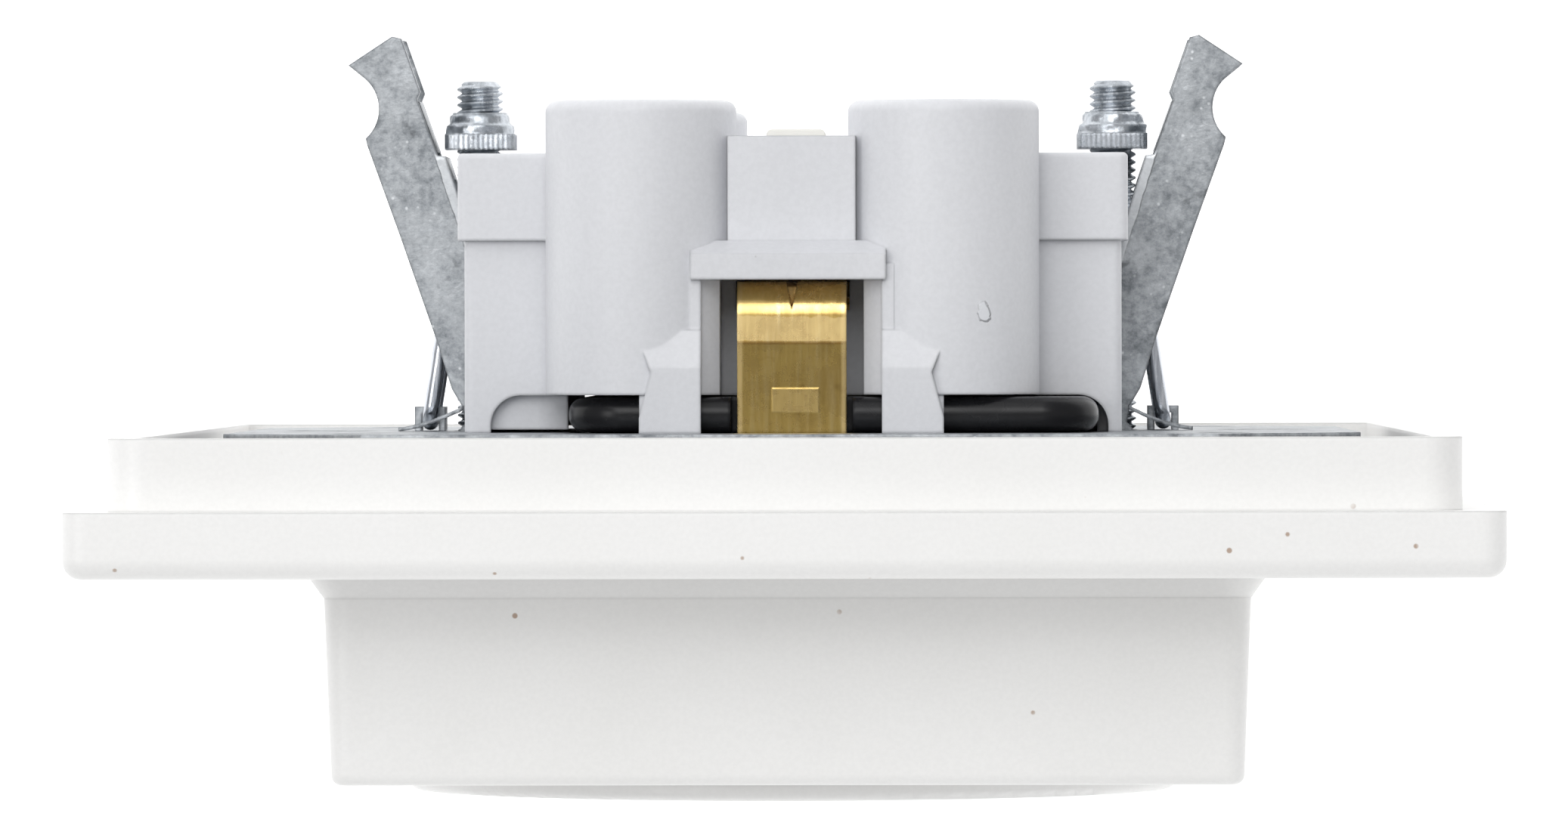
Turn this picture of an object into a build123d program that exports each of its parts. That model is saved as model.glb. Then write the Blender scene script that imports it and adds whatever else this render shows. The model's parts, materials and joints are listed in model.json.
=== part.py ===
from build123d import *
import math
import os

# Double earthed wall socket that fits one round 60 mm flush box.
# Frame: Y = 0 is the wall plane, +Y goes into the wall and -Y faces the room, +Z is up and
# runs from one well to the other, and X is across. The origin is the middle of the wall
# plane, where the centre line of the two box screws crosses it. Units are millimetres.

# ---- driving dimensions -------------------------------------------------------------

WELL_PITCH = 43.0
WELL_Z = WELL_PITCH / 2
PIN_X = 9.5
RUN_GAP = 0.1

# cover
FLANGE_WIDTH = 86.0
FLANGE_HEIGHT = FLANGE_WIDTH + WELL_PITCH
FLANGE_FRONT = -8.4
FLANGE_BACK = -4.4
FLANGE_CORNER = 1.4
FLANGE_EDGE = 1.1
COLLAR_INSET = 2.5
COLLAR_WALL = 1.8
COLLAR_CORNER = 2.2
SKIN = 2.0
FACE_Y = -21.2
FACE_WIDTH = 55.4
BLOCK_DRAFT = 0.5
ROOT_WIDTH = FACE_WIDTH + 2 * BLOCK_DRAFT
BLOCK_CORNER = 1.6
FACE_EDGE = 0.6
ROOT_BEVEL_OUT = 1.0
ROOT_BEVEL_UP = 1.4
RIM_Y = -22.3
RIM_R = 24.0
RIM_EDGE = 0.5
WELL_R = 19.7
CUP_R = 21.7
CUP_BACK = -2.8
WELL_FLOOR = -4.8
LEDGE_FRONT = -3.6
LEDGE_R = 17.8
GUIDE_WIDTH = 5.0
GUIDE_R = 17.9
GUIDE_FRONT = -19.8
EARTH_SLOT_HALF = 3.6
EARTH_SLOT_OUT = 20.7
EARTH_SLOT_IN = 14.8
EARTH_SLOT_FRONT = -18.3
STIFFENER = 1.2
STIFFENER_FRONT = -9.5

# well floors and the screws that hold them
FLOOR_R = WELL_R - RUN_GAP
PIN_HOLE_R = 2.6
COVER_SCREW_R = 1.45
COVER_SCREW_HEAD_R = 2.85
COVER_SCREW_END = 7.0
DRIVE_SLOT_WIDTH = 0.8

# shutters
SHUTTER_FRONT = -3.4
SHUTTER_BACK = -2.4
SHUTTER_HALF_X = 12.6
SHUTTER_HALF_Z = 3.4
SHUTTER_SLOT = 1.9
SHUTTER_SPRING_END = 12.6
SPRING_WIRE = 0.5
SPRING_HALF_X = 5.5
SPRING_LEGS = 5

# front carrier, ring and insulating plate
CARRIER_HALF_X = 15.2
CARRIER_HALF_Z = 43.0
CARRIER_FRONT = -2.3
CARRIER_BACK = -1.05
CARRIER_PIN_R = 3.0
GROOVE_FLOOR = -1.45
RING_SIZE = 71.0
RING_FRONT = -1.0
RING_CLIP = 9.0
WINDOW_HALF_X = 14.0
WINDOW_HALF_Z = 26.0
WINDOW_CORNER = 4.0
FIT_SLOT_X = 30.0
FIT_SLOT_R = 1.7
FIT_SLOT_LENGTH = 6.0
NAIL_HOLE = 27.0
NAIL_HOLE_R = 1.7
RING_SCREW_X = 17.6
RING_SCREW_Z = 10.0
RING_SCREW_R = 1.2
RING_SCREW_HEAD_R = 2.1
RING_SCREW_END = 6.0
PLATE_FRONT = 0.05
PLATE_BACK = 2.25
PLATE_LEFT = -14.0
PLATE_RIGHT = 19.2
PLATE_HALF_Z = 26.7
PLATE_EDGE = 1.0
PLATE_WAIST_X = 14.0
PLATE_WAIST_Z = 15.6

# rear base
WALL_HALF_X = 20.7
WALL_HALF_Z = 19.4
BAND_HALF_X = 21.1
BAND_HALF_Z = 20.0
BAND_FRONT = 12.1
BASE_BACK = 17.6
BASE_ROOF = 15.8
CAVITY_HALF_X = 19.2
CAVITY_HALF_Z = 18.0
TOWER_R = 6.0
TOWER_BORE_R = 4.2
TOWER_FRONT = 2.4
TOWER_BACK = 20.85
TOWER_EDGE = 0.7
BLOCK_HALF_X = 4.0
BLOCK_END_Z = 25.2
BLOCK_BACK = 18.6
HOOD_LEFT = -6.3
HOOD_RIGHT = 5.9
HOOD_END_Z = 27.2
HOOD_FRONT = 9.6
HOOD_LIP = 11.2
HOOD_TOP = 12.05
NICHE_HALF_X = 5.65
NICHE_BACK_Z = 24.1
JAMB_OUT_X = 6.4
JAMB_Z = 25.6
JAMB_END_Z = 26.7
RIB_OUT_X = 9.5
RIB_END_Z = 28.0
RIB_ROOT_Z = 24.0
RIB_TOP = 6.45
RIB_LOW = 4.1
FOOT_SLOT_LEFT = -19.05
FOOT_SLOT_RIGHT = 19.85
FOOT_SLOT_Y = 2.35
FOOT_SLOT_START_Z = 15.5
FOOT_SLOT_END_Z = 26.95
SLOT_SCREEN_BACK_Z = 17.2
SLOT_SCREEN_FRONT_Z = 18.4
SLOT_SCREEN_END_X = -14.2
STRIP_RELIEF_X = 4.5
STRIP_RELIEF_END_Z = 26.0
CHANNEL_X = 16.3
CHANNEL_HALF_Z = 5.2
CHANNEL_WALL = 1.2
POST_R = 3.0
POST_BACK = 7.7
WIRE_R = 1.6
WIRE_X = 10.0
WIRE_Z = 6.5
EARTH_WIRE_Z = 7.0

# conductors
RAIL_IN_X = 7.4
RAIL_THICK = 1.0
RAIL_FRONT = 10.0
RAIL_BACK = 15.0
TULIP_R = 3.3
TULIP_BORE_R = 2.5
TULIP_FRONT = 3.0
TULIP_SLIT = 0.8
TULIP_SLIT_END = 12.5
STRIP_HALF_X = 3.425
BRIDGE_THICK = 0.9
BRIDGE_BACK = 9.5
BRIDGE_OUT_Z = 25.1
BRIDGE_BEND = 2.05
PINCH_HALF_X = 0.4
PINCH_DEPTH = 1.75
BRIDGE_TAB_Z = 8.75
YOKE_HALF_X = 3.2
YOKE_FRONT = -2.25
YOKE_BACK = -1.5
YOKE_REACH = 18.3
YOKE_THICK = YOKE_BACK - YOKE_FRONT
LEAF_THICK = 0.4
LEAF_WIDTH = 3.6

# release levers
LEVER_X = 12.7
LEVER_PROUD = 0.8

# claws: one turn of the screw moves the nut by its pitch, and the nut spreads the claw
SCREW_X = 20.4
SCREW_R = 1.5
SCREW_END = 22.5
SCREW_HEAD_R = 2.7
SCREW_HEAD_FRONT = -2.75
NUT_FRONT = 18.1
NUT_THICK = 1.0
NUT_IN_X = 18.1
NUT_OUT_X = 22.6
NUT_HALF_Z = 2.6
NUT_BORE_R = SCREW_R + 0.03
CLAW_PIVOT_X = 20.6
CLAW_PIVOT_Y = -0.4
CLAW_PIVOT_R = 1.1
CHEEK_IN_Z = 3.1
SHEET = 1.0
WEB_THICK = 0.9
WEB_SLOT_HALF = 1.9
BAIL_X = 23.6
BAIL_Y = 0.55
BAIL_WIRE_R = 0.5
BAIL_TOP_X = 22.0
BAIL_TOP_Y = 11.0
BAIL_HALF_Z = 2.5


# ---- helpers ------------------------------------------------------------------------

def block(x0, x1, y0, y1, z0, z1):
    """A box between two corners."""
    size = Box(abs(x1 - x0), abs(y1 - y0), abs(z1 - z0))
    return Pos((x0 + x1) / 2, (y0 + y1) / 2, (z0 + z1) / 2) * size


def rod(x, z, r, y0, y1):
    """A round bar along Y."""
    turned = Rot(90, 0, 0) * Cylinder(r, y1 - y0)
    return Pos(x, (y0 + y1) / 2, z) * turned


def cone(x, z, r0, r1, y0, y1):
    """A cone along Y with radius r0 at y0 and r1 at y1."""
    turned = Rot(-90, 0, 0) * Cone(r0, r1, y1 - y0)
    return Pos(x, (y0 + y1) / 2, z) * turned


def wall_plane(y):
    """A plane parallel to the wall: local x is X, local y is Z, and its normal is -Y."""
    return Plane(origin=(0, y, 0), x_dir=(1, 0, 0), z_dir=(0, -1, 0))


def slab(width, height, y0, y1, corner, shift_x=0.0):
    """A plate parallel to the wall with rounded corners."""
    outline = wall_plane(y1) * Pos(shift_x, 0) * RectangleRounded(width, height, corner)
    return extrude(outline, amount=y1 - y0)


def prism_z(points, z0, z1):
    """A closed outline of (x, y) points, drawn out along Z."""
    outline = make_face(Polyline(*points, close=True))
    return Pos(0, 0, z0) * extrude(outline, amount=z1 - z0)


def prism_x(points, x0, x1):
    """A closed outline of (y, z) points, drawn out along X."""
    plane = Plane(origin=(x0, 0, 0), x_dir=(0, 1, 0), z_dir=(1, 0, 0))
    outline = plane * make_face(Polyline(*points, close=True))
    return extrude(outline, amount=x1 - x0)


def ribbon(points, thick):
    """The outline of a bent strip of even thickness that follows a line of 2-D points."""
    left = []
    right = []
    last = len(points) - 1
    for i, (px, py) in enumerate(points):
        ax, ay = points[max(i - 1, 0)]
        bx, by = points[min(i + 1, last)]
        mx, my = points[i]
        before = math.atan2(my - ay, mx - ax) if i > 0 else math.atan2(by - my, bx - mx)
        after = math.atan2(by - my, bx - mx) if i < last else before
        middle = math.atan2(math.sin(before) + math.sin(after), math.cos(before) + math.cos(after))
        reach = thick / 2 / math.cos((after - before + math.pi) % (2 * math.pi) / 2 - math.pi / 2)
        left.append((px - reach * math.sin(middle), py + reach * math.cos(middle)))
        right.append((px + reach * math.sin(middle), py - reach * math.cos(middle)))
    return left + right[::-1]


def mirrored_x(shape):
    return mirror(shape, about=Plane.YZ)


def mirrored_z(shape):
    return mirror(shape, about=Plane.XY)


def both_ends(shape):
    """The shape and its mirror image at the other end of Z."""
    return shape + mirrored_z(shape)


def front_edges(shape, y, tolerance=0.01):
    """The edges that lie in the plane at this Y."""
    found = []
    for edge in shape.edges():
        box = edge.bounding_box()
        if abs(box.min.Y - y) < tolerance and abs(box.max.Y - y) < tolerance:
            found.append(edge)
    return found


def save(name, *solids):
    """Write one node, as one solid or as a group of separate ones."""
    shape = solids[0] if len(solids) == 1 else Compound(children=list(solids))
    export_step(shape, os.path.join("parts", name + ".step"))


# ---- cover --------------------------------------------------------------------------

def cover_plate():
    flange = slab(FLANGE_WIDTH, FLANGE_HEIGHT, FLANGE_FRONT, FLANGE_BACK, FLANGE_CORNER)
    flange = fillet(front_edges(flange, FLANGE_FRONT), FLANGE_EDGE)
    collar_width = FLANGE_WIDTH - 2 * COLLAR_INSET
    collar_height = FLANGE_HEIGHT - 2 * COLLAR_INSET
    collar = slab(collar_width, collar_height, FLANGE_BACK, 0.0, COLLAR_CORNER)

    depth = FLANGE_FRONT - FACE_Y
    root = wall_plane(FLANGE_FRONT) * RectangleRounded(ROOT_WIDTH, ROOT_WIDTH + WELL_PITCH, BLOCK_CORNER)
    draft = math.degrees(math.atan2(BLOCK_DRAFT, depth))
    front_block = extrude(root, amount=depth, taper=draft)
    front_block = fillet(front_edges(front_block, FACE_Y), FACE_EDGE)
    bevel_width = ROOT_WIDTH + 2 * ROOT_BEVEL_OUT
    bevel_corner = BLOCK_CORNER + ROOT_BEVEL_OUT
    bevel = wall_plane(FLANGE_FRONT) * RectangleRounded(bevel_width, bevel_width + WELL_PITCH, bevel_corner)
    slope = math.degrees(math.atan2(ROOT_BEVEL_OUT, ROOT_BEVEL_UP))
    front_block += extrude(bevel, amount=ROOT_BEVEL_UP, taper=slope)

    body = flange + collar + front_block
    for side in (1, -1):
        rim = rod(0, side * WELL_Z, RIM_R, RIM_Y, FACE_Y + 0.1)
        body += fillet(front_edges(rim, RIM_Y), RIM_EDGE)

    inner_width = collar_width - 2 * COLLAR_WALL
    hollow = slab(inner_width, inner_width + WELL_PITCH, FLANGE_FRONT + SKIN, 1.0, 1.0)
    nook_width = FACE_WIDTH - 2 * SKIN
    hollow += slab(nook_width, nook_width + WELL_PITCH, FACE_Y + SKIN, FLANGE_FRONT + SKIN, 1.0)
    for side in (1, -1):
        cup = rod(0, side * WELL_Z, CUP_R, FACE_Y, CUP_BACK)
        hollow -= cup
    half = nook_width / 2 + 0.5
    for side in (1, -1):
        z = side * WELL_Z
        hollow -= block(-half, half, FACE_Y, STIFFENER_FRONT, z - STIFFENER / 2, z + STIFFENER / 2)
    hollow -= block(-STIFFENER / 2, STIFFENER / 2, FACE_Y, STIFFENER_FRONT, -half - WELL_Z, half + WELL_Z)
    body -= hollow

    for side in (1, -1):
        z = side * WELL_Z
        body -= rod(0, z, WELL_R, RIM_Y - 1, LEDGE_FRONT)
        body -= rod(0, z, LEDGE_R, LEDGE_FRONT - 1, CUP_BACK + 1)
        for guide in (1, -1):
            low, high = sorted((guide * GUIDE_R, guide * (WELL_R + 0.6)))
            rib = block(low, high, GUIDE_FRONT, WELL_FLOOR, z - GUIDE_WIDTH / 2, z + GUIDE_WIDTH / 2)
            body += rib
        for end in (1, -1):
            low, high = sorted((z + end * EARTH_SLOT_IN, z + end * EARTH_SLOT_OUT))
            body -= block(-EARTH_SLOT_HALF, EARTH_SLOT_HALF, EARTH_SLOT_FRONT, CUP_BACK + 1, low, high)
    return body


def well_floor(side):
    """The round floor of one well, with its two pin holes, let in from the front."""
    z = side * WELL_Z
    disc = rod(0, z, FLOOR_R, WELL_FLOOR, LEDGE_FRONT)
    for x in (-PIN_X, PIN_X):
        disc -= rod(x, z, PIN_HOLE_R, WELL_FLOOR - 1, LEDGE_FRONT + 1)
    disc -= cone(0, z, COVER_SCREW_HEAD_R + 0.1, COVER_SCREW_R + 0.2, WELL_FLOOR, LEDGE_FRONT)
    for end in (1, -1):
        low, high = sorted((z + end * EARTH_SLOT_IN, z + end * (FLOOR_R + 1)))
        disc -= block(-EARTH_SLOT_HALF, EARTH_SLOT_HALF, WELL_FLOOR - 1, LEDGE_FRONT + 1, low, high)
    for guide in (1, -1):
        low, high = sorted((guide * (GUIDE_R - RUN_GAP), guide * (FLOOR_R + 1)))
        width = GUIDE_WIDTH / 2 + RUN_GAP
        disc -= block(low, high, WELL_FLOOR - 1, LEDGE_FRONT + 1, z - width, z + width)
    return disc


def cover_screw(side):
    z = side * WELL_Z
    screw = cone(0, z, COVER_SCREW_HEAD_R, COVER_SCREW_R, WELL_FLOOR, LEDGE_FRONT)
    screw += rod(0, z, COVER_SCREW_R, LEDGE_FRONT - 0.01, COVER_SCREW_END)
    half = DRIVE_SLOT_WIDTH / 2
    screw -= block(-half, half, WELL_FLOOR - 1, WELL_FLOOR + 0.8, z - 4, z + 4)
    return screw


# ---- shutters -----------------------------------------------------------------------

def shutter():
    """The upper shutter at rest, closed over both pin holes. It opens upwards."""
    low = WELL_Z - SHUTTER_HALF_Z
    high = WELL_Z + SHUTTER_HALF_Z
    plate = block(-SHUTTER_HALF_X, SHUTTER_HALF_X, SHUTTER_FRONT, SHUTTER_BACK, low, high)
    plate = fillet(plate.edges().filter_by(Axis.Y), 1.0)
    notch_top = WELL_Z + SHUTTER_SLOT
    plate -= block(-SHUTTER_SLOT, SHUTTER_SLOT, SHUTTER_FRONT - 1, SHUTTER_BACK + 1, low - 1, notch_top)
    return plate


def shutter_spring():
    """A flat zigzag wire spring that holds the upper shutter closed."""
    start = WELL_Z + SHUTTER_HALF_Z
    end = WELL_Z + SHUTTER_SPRING_END
    step = (end - start - SPRING_WIRE) / (SPRING_LEGS - 1)
    middle = (SHUTTER_FRONT + SHUTTER_BACK) / 2
    y0 = middle - SPRING_WIRE / 2
    y1 = middle + SPRING_WIRE / 2
    spring = None
    for leg in range(SPRING_LEGS):
        z = start + leg * step
        bar = block(-SPRING_HALF_X, SPRING_HALF_X, y0, y1, z, z + SPRING_WIRE)
        spring = bar if spring is None else spring + bar
        if leg < SPRING_LEGS - 1:
            side = SPRING_HALF_X - SPRING_WIRE if leg % 2 == 0 else -SPRING_HALF_X
            spring += block(side, side + SPRING_WIRE, y0, y1, z, z + step + SPRING_WIRE)
    return spring


# ---- carrier, ring and insulating plate ---------------------------------------------

def front_carrier():
    """The black plate behind the cover that guides the shutters and holds the earth yokes."""
    plate = slab(2 * CARRIER_HALF_X, 2 * CARRIER_HALF_Z, CARRIER_FRONT, CARRIER_BACK, 3.0)
    neck_x = 2 * (WINDOW_HALF_X - 0.3)
    neck_z = 2 * (WINDOW_HALF_Z - 0.3)
    plate += slab(neck_x, neck_z, CARRIER_BACK, -0.1, WINDOW_CORNER)
    for side in (1, -1):
        z = side * WELL_Z
        plate -= rod(0, z, COVER_SCREW_R + 0.25, CARRIER_FRONT - 1, 1)
        for x in (-PIN_X, PIN_X):
            plate -= rod(x, z, CARRIER_PIN_R, CARRIER_FRONT - 1, 1)
        low, high = sorted((side * 2.0, side * (WELL_Z + YOKE_REACH + 1.7)))
        half = YOKE_HALF_X + 0.15
        plate -= block(-half, half, CARRIER_FRONT - 1, GROOVE_FLOOR, low, high)
        low, high = sorted((side * NICHE_BACK_Z, side * (BRIDGE_OUT_Z + 0.25)))
        half = STRIP_HALF_X + 0.15
        plate -= block(-half, half, CARRIER_FRONT - 1, 1, low, high)
        seat = side * (WELL_Z + SHUTTER_SPRING_END)
        low, high = sorted((seat, seat + side * 1.0))
        for end in (1, -1):
            inner, outer = sorted((end * (YOKE_HALF_X + 0.3), end * (SPRING_HALF_X + 0.5)))
            plate += block(inner, outer, SHUTTER_FRONT, CARRIER_FRONT, low, high)
    return plate


def support_ring():
    """The steel plate that lies on the wall and carries the base, the claws and the box slots."""
    half = RING_SIZE / 2
    ring = block(-half, half, RING_FRONT, 0, -half, half)
    ring = chamfer(ring.edges().filter_by(Axis.Y), RING_CLIP)
    window = wall_plane(1) * RectangleRounded(2 * WINDOW_HALF_X, 2 * WINDOW_HALF_Z, WINDOW_CORNER)
    ring -= extrude(window, amount=3)
    for x in (-1, 1):
        slot = wall_plane(1) * Pos(x * FIT_SLOT_X, 0) * SlotOverall(FIT_SLOT_LENGTH, 2 * FIT_SLOT_R)
        ring -= extrude(slot, amount=3)
        ring -= rod(x * SCREW_X, 0, SCREW_R + 0.15, RING_FRONT - 1, 1)
        for z in (-1, 1):
            ring -= rod(x * NAIL_HOLE, z * NAIL_HOLE, NAIL_HOLE_R, RING_FRONT - 1, 1)
            ring -= rod(x * RING_SCREW_X, z * RING_SCREW_Z, RING_SCREW_R + 0.1, RING_FRONT - 1, 1)
            tab_in = z * (CHEEK_IN_Z - 0.15)
            tab_out = z * (CHEEK_IN_Z + SHEET + 0.15)
            low, high = sorted((tab_in, tab_out))
            near, far = sorted((x * (CLAW_PIVOT_X - 1.3), x * (CLAW_PIVOT_X + 1.3)))
            ring -= block(near, far, RING_FRONT - 1, 1, low, high)
        near, far = sorted((x * (BAIL_X - 1.0), x * (BAIL_X + 1.0)))
        lug = block(near, far, -0.1, 1.55, -1.3, 1.3)
        near, far = sorted((x * (BAIL_X - 0.55), x * (BAIL_X + 0.55)))
        lug -= block(near, far, 0, 1.1, -2, 2)
        ring += lug
    return ring


def ring_screw(x, z):
    screw = rod(x, z, RING_SCREW_HEAD_R, RING_FRONT - 0.9, RING_FRONT)
    screw += rod(x, z, RING_SCREW_R, RING_FRONT - 0.01, RING_SCREW_END)
    half = DRIVE_SLOT_WIDTH / 2
    screw -= block(x - half, x + half, RING_FRONT - 2, RING_FRONT - 0.4, z - 3, z + 3)
    return screw


def insulating_plate():
    """The glossy black plate between the ring and the live parts, seen under the towers."""
    width = PLATE_RIGHT - PLATE_LEFT
    shift = (PLATE_RIGHT + PLATE_LEFT) / 2
    plate = slab(width, 2 * PLATE_HALF_Z, PLATE_FRONT, PLATE_BACK, 3.5, shift_x=shift)
    plate = fillet(front_edges(plate, PLATE_BACK) + front_edges(plate, PLATE_FRONT), PLATE_EDGE)
    plate -= block(PLATE_WAIST_X, PLATE_RIGHT + 1, -1, 3, -PLATE_WAIST_Z, PLATE_WAIST_Z)
    for side in (1, -1):
        z = side * WELL_Z
        for x in (-PIN_X, PIN_X):
            plate -= rod(x, z, TULIP_R + 0.3, -1, 3)
        half = STRIP_HALF_X + 0.4
        low, high = sorted((side * (NICHE_BACK_Z - 0.15), side * (PLATE_HALF_Z + 1)))
        plate -= block(-half, half, -1, 3, low, high)
        plate -= rod(0, z, POST_R + 0.15, -1, 3)
    return plate


# ---- rear base ----------------------------------------------------------------------

def tower(x, z):
    shape = rod(x, z, TOWER_R, TOWER_FRONT, TOWER_BACK)
    return fillet(front_edges(shape, TOWER_BACK), TOWER_EDGE)


def end_details():
    """What stands at the top end of the base: the hood over the earth strip, its jambs and two ribs."""
    hood = prism_x(
        [
            (HOOD_FRONT, CAVITY_HALF_Z),
            (HOOD_FRONT, HOOD_END_Z),
            (HOOD_LIP, HOOD_END_Z),
            (HOOD_TOP, BLOCK_END_Z),
            (HOOD_TOP, CAVITY_HALF_Z),
        ],
        HOOD_LEFT,
        HOOD_RIGHT,
    )
    rib_profile = [
        (0, RIB_ROOT_Z),
        (0, RIB_END_Z),
        (RIB_LOW, RIB_END_Z),
        (RIB_TOP, RIB_END_Z - 1.1),
        (RIB_TOP, RIB_ROOT_Z),
    ]
    ribs = prism_x(rib_profile, NICHE_HALF_X, RIB_OUT_X)
    ribs += prism_x(rib_profile, -RIB_OUT_X, -NICHE_HALF_X)
    for side in (1, -1):
        near, far = sorted((side * NICHE_HALF_X, side * JAMB_OUT_X))
        ribs += block(near, far, TOWER_FRONT, HOOD_FRONT + 1, JAMB_Z, JAMB_END_Z)
    outer = [
        (RIB_OUT_X - 0.75, RIB_LOW - 0.3),
        (RIB_OUT_X + 0.1, RIB_TOP - 0.5),
        (RIB_OUT_X + 0.1, RIB_LOW - 3.5),
    ]
    for side in (1, -1):
        points = [(side * x, y) for x, y in outer]
        ribs -= prism_z(points, RIB_END_Z - 0.75, RIB_END_Z + 1)
    return hood + ribs


def rear_base():
    """The light grey moulded base: pin towers, terminal cavity, claw channels and hoods."""
    wall = block(-WALL_HALF_X, WALL_HALF_X, 0, BAND_FRONT, -WALL_HALF_Z, WALL_HALF_Z)
    wall = fillet(wall.edges().filter_by(Axis.Y), 0.5)
    band = block(-BAND_HALF_X, BAND_HALF_X, BAND_FRONT, BASE_BACK, -BAND_HALF_Z, BAND_HALF_Z)
    band = fillet(band.edges().filter_by(Axis.Y), 0.5)
    band = fillet(front_edges(band, BASE_BACK), 0.3)
    base = wall + band

    spine = block(-BLOCK_HALF_X, BLOCK_HALF_X, BASE_ROOF, BLOCK_BACK, -BLOCK_END_Z, BLOCK_END_Z)
    nose = block(-BLOCK_HALF_X, BLOCK_HALF_X, HOOD_FRONT, BASE_ROOF, CAVITY_HALF_Z, BLOCK_END_Z)
    base += spine + both_ends(nose)
    base += both_ends(end_details())

    for side in (1, -1):
        for x in (-PIN_X, PIN_X):
            base += tower(x, side * WELL_Z)
    base -= block(-CAVITY_HALF_X, CAVITY_HALF_X, -1, BASE_ROOF, -CAVITY_HALF_Z, CAVITY_HALF_Z)

    # the towers are cut back beside the earth strip
    relief = block(
        -STRIP_RELIEF_X, STRIP_RELIEF_X, TOWER_FRONT, HOOD_FRONT, WALL_HALF_Z, STRIP_RELIEF_END_Z
    )
    base -= both_ends(relief)

    # the posts for the cover screws, the foot slots, the tower bores and the way out for the earth strip
    post = rod(0, WELL_Z, POST_R, 0.2, POST_BACK)
    post &= block(-POST_R, POST_R, 0, POST_BACK, WELL_Z - POST_R, NICHE_BACK_Z)
    low_slot = block(
        FOOT_SLOT_LEFT, FOOT_SLOT_RIGHT, -3, FOOT_SLOT_Y, FOOT_SLOT_START_Z, FOOT_SLOT_END_Z
    )
    low_slot = fillet(low_slot.edges().filter_by(Axis.Z), 1.9)
    # a thin screen closes the slot behind its free end, beside the insulating plate
    screen = block(
        FOOT_SLOT_LEFT - 0.2, SLOT_SCREEN_END_X, 0.2, FOOT_SLOT_Y + 0.2,
        SLOT_SCREEN_BACK_Z, SLOT_SCREEN_FRONT_Z,
    )
    for end in (1, -1):
        base -= low_slot if end == 1 else mirrored_z(low_slot)
        base += screen if end == 1 else mirrored_z(screen)
        base += post if end == 1 else mirrored_z(post)
        z = end * WELL_Z
        base -= rod(0, z, COVER_SCREW_R + 0.05, -1, COVER_SCREW_END + 0.4)
        for x in (-PIN_X, PIN_X):
            base -= rod(x, z, TOWER_BORE_R, -1, TOWER_BACK - 1.7)
    half = STRIP_HALF_X + 0.15
    base -= block(-half, half, POST_BACK, HOOD_FRONT, -NICHE_BACK_Z - 1, NICHE_BACK_Z + 1)

    for side in (1, -1):
        inner = CHANNEL_X - CHANNEL_WALL
        near, far = sorted((side * inner, side * (WALL_HALF_X - 0.5)))
        half = CHANNEL_HALF_Z + CHANNEL_WALL
        base += block(near, far, 0, BASE_ROOF, -half, half)
        near, far = sorted((side * CHANNEL_X, side * (BAND_HALF_X + 1)))
        base -= block(near, far, -1, BASE_BACK + 1, -CHANNEL_HALF_Z, CHANNEL_HALF_Z)
        for end in (1, -1):
            x = side * RING_SCREW_X
            z = end * RING_SCREW_Z
            near, far = sorted((side * (RING_SCREW_X - 2.1), side * (CAVITY_HALF_X + 0.3)))
            base += block(near, far, 0, RING_SCREW_END + 2, z - 2.3, z + 2.3)
            base -= rod(x, z, RING_SCREW_R, -1, RING_SCREW_END + 0.5)
            base -= rod(side * WIRE_X, end * WIRE_Z, WIRE_R, BASE_ROOF - 1, BASE_BACK + 1)
        near, far = sorted((side * (LEVER_X - 1.85), side * (LEVER_X + 1.85)))
        base -= block(near, far, BASE_ROOF - 1, BASE_BACK + 1, -2.75, 2.75)

    pocket = block(-2.8, 2.8, BASE_ROOF - 1, BLOCK_BACK - 1.5, -10.6, 10.6)
    base -= pocket
    base -= block(-2.1, 2.1, BASE_ROOF, BLOCK_BACK + 1, -2.3, 2.3)
    for end in (1, -1):
        base -= rod(0, end * EARTH_WIRE_Z, WIRE_R, BASE_ROOF, BLOCK_BACK + 1)
    return base


# ---- conductors ---------------------------------------------------------------------

def contact_rail(side):
    """A brass rail on edge with a slit tube at each end that grips a plug pin."""
    near, far = sorted((side * RAIL_IN_X, side * (RAIL_IN_X + RAIL_THICK)))
    rail = block(near, far, RAIL_FRONT, RAIL_BACK, -19.2, 19.2)
    for end in (1, -1):
        x = side * PIN_X
        z = end * WELL_Z
        rail += rod(x, z, TULIP_R, TULIP_FRONT, RAIL_BACK)
    for end in (1, -1):
        x = side * PIN_X
        z = end * WELL_Z
        rail -= rod(x, z, TULIP_BORE_R, TULIP_FRONT - 1, RAIL_BACK + 1)
        half = TULIP_SLIT / 2
        reach = TULIP_R + 0.5
        rail -= block(x - reach, x + reach, TULIP_FRONT - 1, RAIL_FRONT - 0.5, z - half, z + half)
        rail -= block(x - half, x + half, TULIP_FRONT - 1, TULIP_SLIT_END, z - reach, z + reach)
    return rail


def clamp_spring(side, end):
    """A folded leaf that presses a bare wire against the rail."""
    line = [(14.5, 14.4), (14.5, 6.9), (13.9, 6.3), (13.1, 6.6), (9.0, 11.0)]
    outline = [(side * x, y) for x, y in ribbon(line, LEAF_THICK)]
    z = end * WIRE_Z
    return prism_z(outline, z - LEAF_WIDTH / 2, z + LEAF_WIDTH / 2)


def earth_clamp_spring(end):
    """A folded leaf that presses the bare earth wire against the bridge's tab."""
    line = [(14.4, 3.5), (10.6, 3.5), (10.1, 3.9), (10.3, 4.6), (13.0, 8.2)]
    outline = [(y, end * z) for y, z in ribbon(line, LEAF_THICK)]
    return prism_x(outline, -LEAF_WIDTH / 2, LEAF_WIDTH / 2)


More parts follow.
